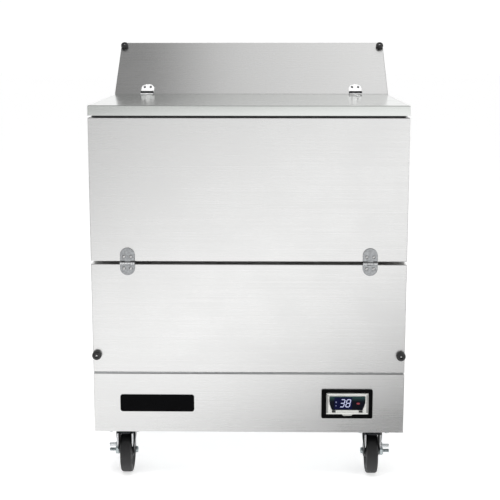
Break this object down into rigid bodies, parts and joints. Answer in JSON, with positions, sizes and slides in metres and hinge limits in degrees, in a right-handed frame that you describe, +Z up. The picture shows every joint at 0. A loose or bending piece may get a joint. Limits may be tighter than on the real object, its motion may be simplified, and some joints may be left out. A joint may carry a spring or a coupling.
{
  "type": "school milk cooler",
  "caption": "Insulated stainless milk cooler on swivel casters, with a lift-up lid that folds back on a sloped hood and a drop-down front door.",
  "frame": {"origin": "on the floor under the middle of the bounding box", "axes": "+Z up; the front with its door and controller faces -Y; +X to the right as seen from the front"},
  "size_m": [0.866, 0.867, 1.2249],
  "materials": {
    "stainless": "brushed stainless sheet, number 4 grain",
    "liner": "stucco or mill aluminium sheet",
    "galvanised": "galvanised steel sheet",
    "chrome": "polished plated steel",
    "zinc": "zinc-plated pressed steel",
    "black_plastic": "moulded satin",
    "display": "glossy tinted window",
    "nameplate": "gloss black enamel",
    "black_paint": "semi-gloss enamel",
    "rubber": "moulded rubber",
    "tread": "solid rubber tread",
    "gasket": "soft extruded seal",
    "foam": "foamed in place, never seen",
    "copper": "drawn copper tube",
    "breaker": "moulded breaker strip",
    "rack": "epoxy-coated wire",
    "fin": "finned coil"
  },
  "bodies": {
    "cabinet": {"side_panel_left": "stainless", "side_panel_right": "stainless", "front_lower_panel": "stainless", "base_front_panel": "stainless", "rear_hood": "stainless", "inner_liner": "liner", "evaporator_duct": "liner", "base_frame": "galvanised", "compartment_deck": "galvanised", "rear_panel": "galvanised", "rear_grille": "galvanised", "panel_hinge_leaf_left": "chrome", "hood_hinge_leaf_left": "chrome", "door_rest_bumper_left": "rubber", "lid_rest_bumper_left": "rubber", "panel_hinge_leaf_right": "chrome", "hood_hinge_leaf_right": "chrome", "door_rest_bumper_right": "rubber", "lid_rest_bumper_right": "rubber", "caster_plate_front_left": "zinc", "caster_plate_front_right": "zinc", "caster_plate_rear_left": "zinc", "caster_plate_rear_right": "zinc", "breaker_frame": "breaker", "floor_rack": "rack", "foam_insulation": "foam", "nameplate": "nameplate", "cord_gland": "black_plastic", "evaporator_coil": "fin", "condenser_coil": "fin", "evaporator_fan_motor": "black_paint", "condenser_fan_motor": "black_paint", "compressor": "black_paint", "suction_line": "copper", "controller_bezel": "black_plastic", "display_window": "display"},
    "lid": {"lid_outer_pan": "stainless", "lid_inner_pan": "liner", "lid_gasket": "gasket", "lid_hinge_leaf_left": "chrome", "lid_hinge_leaf_right": "chrome"},
    "door": {"door_outer_pan": "stainless", "door_inner_pan": "liner", "door_gasket": "gasket", "door_hinge_leaf_left": "chrome", "door_hinge_leaf_right": "chrome"},
    "evaporator_fan": {"evaporator_fan_blade": "black_plastic"},
    "condenser_fan": {"condenser_fan_blade": "fin"},
    "button_left": {"button_left": "black_plastic"},
    "button_right": {"button_right": "black_plastic"},
    "fork_front_left": {"caster_fork_front_left": "zinc"},
    "wheel_front_left": {"caster_wheel_front_left": "tread"},
    "brake_front_left": {"brake_lever_front_left": "zinc"},
    "fork_front_right": {"caster_fork_front_right": "zinc"},
    "wheel_front_right": {"caster_wheel_front_right": "tread"},
    "brake_front_right": {"brake_lever_front_right": "zinc"},
    "fork_rear_left": {"caster_fork_rear_left": "zinc"},
    "wheel_rear_left": {"caster_wheel_rear_left": "tread"},
    "fork_rear_right": {"caster_fork_rear_right": "zinc"},
    "wheel_rear_right": {"caster_wheel_rear_right": "tread"}
  },
  "joints": [
    {"name": "lid_hinge", "type": "hinge", "parent": "cabinet", "child": "lid", "pos_m": [0, 0.12372, 1.0693], "axis": [-1, 0, 0], "range_deg": [0, 139.8]},
    {"name": "door_hinge", "type": "hinge", "parent": "cabinet", "child": "door", "pos_m": [0, -0.4225, 0.6355], "axis": [1, 0, 0], "range_deg": [0, 178.4]},
    {"name": "evaporator_fan_spin", "type": "hinge", "parent": "cabinet", "child": "evaporator_fan", "pos_m": [0, 0.3175, 0.88], "axis": [0, -1, 0], "continuous": true},
    {"name": "condenser_fan_spin", "type": "hinge", "parent": "cabinet", "child": "condenser_fan", "pos_m": [-0.24, 0.3505, 0.232], "axis": [0, 1, 0], "continuous": true},
    {"name": "button_left_press", "type": "slide", "parent": "cabinet", "child": "button_left", "axis": [0, 1, 0], "range_m": [0, 0.0008], "stiffness_N_per_m": 700, "springref_m": -0.0015},
    {"name": "button_right_press", "type": "slide", "parent": "cabinet", "child": "button_right", "axis": [0, 1, 0], "range_m": [0, 0.0008], "stiffness_N_per_m": 700, "springref_m": -0.0015},
    {"name": "swivel_front_left", "type": "hinge", "parent": "cabinet", "child": "fork_front_left", "pos_m": [-0.351, -0.3635, 0.143], "axis": [0, 0, 1], "continuous": true},
    {"name": "roll_front_left", "type": "hinge", "parent": "fork_front_left", "child": "wheel_front_left", "pos_m": [-0.351, -0.3265, 0.0635], "axis": [1, 0, 0], "continuous": true},
    {"name": "brake_front_left", "type": "hinge", "parent": "fork_front_left", "child": "brake_front_left", "pos_m": [-0.3798, -0.3535, 0.092], "axis": [1, 0, 0], "range_deg": [0, 25]},
    {"name": "swivel_front_right", "type": "hinge", "parent": "cabinet", "child": "fork_front_right", "pos_m": [0.351, -0.3635, 0.143], "axis": [0, 0, 1], "continuous": true},
    {"name": "roll_front_right", "type": "hinge", "parent": "fork_front_right", "child": "wheel_front_right", "pos_m": [0.351, -0.3265, 0.0635], "axis": [1, 0, 0], "continuous": true},
    {"name": "brake_front_right", "type": "hinge", "parent": "fork_front_right", "child": "brake_front_right", "pos_m": [0.3798, -0.3535, 0.092], "axis": [1, 0, 0], "range_deg": [0, 25]},
    {"name": "swivel_rear_left", "type": "hinge", "parent": "cabinet", "child": "fork_rear_left", "pos_m": [-0.351, 0.3225, 0.143], "axis": [0, 0, 1], "continuous": true},
    {"name": "roll_rear_left", "type": "hinge", "parent": "fork_rear_left", "child": "wheel_rear_left", "pos_m": [-0.351, 0.3595, 0.0635], "axis": [1, 0, 0], "continuous": true},
    {"name": "swivel_rear_right", "type": "hinge", "parent": "cabinet", "child": "fork_rear_right", "pos_m": [0.351, 0.3225, 0.143], "axis": [0, 0, 1], "continuous": true},
    {"name": "roll_rear_right", "type": "hinge", "parent": "fork_rear_right", "child": "wheel_rear_right", "pos_m": [0.351, 0.3595, 0.0635], "axis": [1, 0, 0], "continuous": true}
  ]
}
